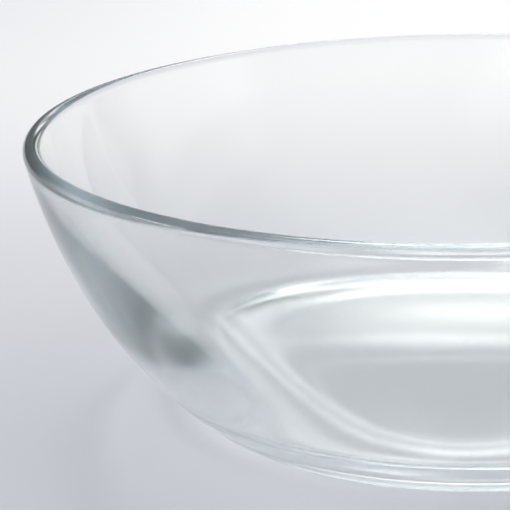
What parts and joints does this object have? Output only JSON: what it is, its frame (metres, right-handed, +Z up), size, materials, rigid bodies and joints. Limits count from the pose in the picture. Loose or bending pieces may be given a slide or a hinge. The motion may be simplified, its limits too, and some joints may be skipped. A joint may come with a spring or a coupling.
{
  "type": "crystallizing dish",
  "caption": "Round flared dish of thick clear glass with a curved wall, rounded rim and flat foot, for holding, settling and evaporating liquids.",
  "frame": {"origin": "middle of the foot, at the level of the surface that the dish stands on", "axes": "+Z up along the axis that the dish is turned about, out of its mouth; +X and +Y are any two square directions, since the dish is round"},
  "size_m": [0.23, 0.23, 0.0738],
  "materials": {
    "glass": "clear, fire-polished and smooth all over, with a faint cool grey-green tint in the thick heel and rim"
  },
  "bodies": {
    "root": {"dish": "glass"}
  },
  "joints": []
}
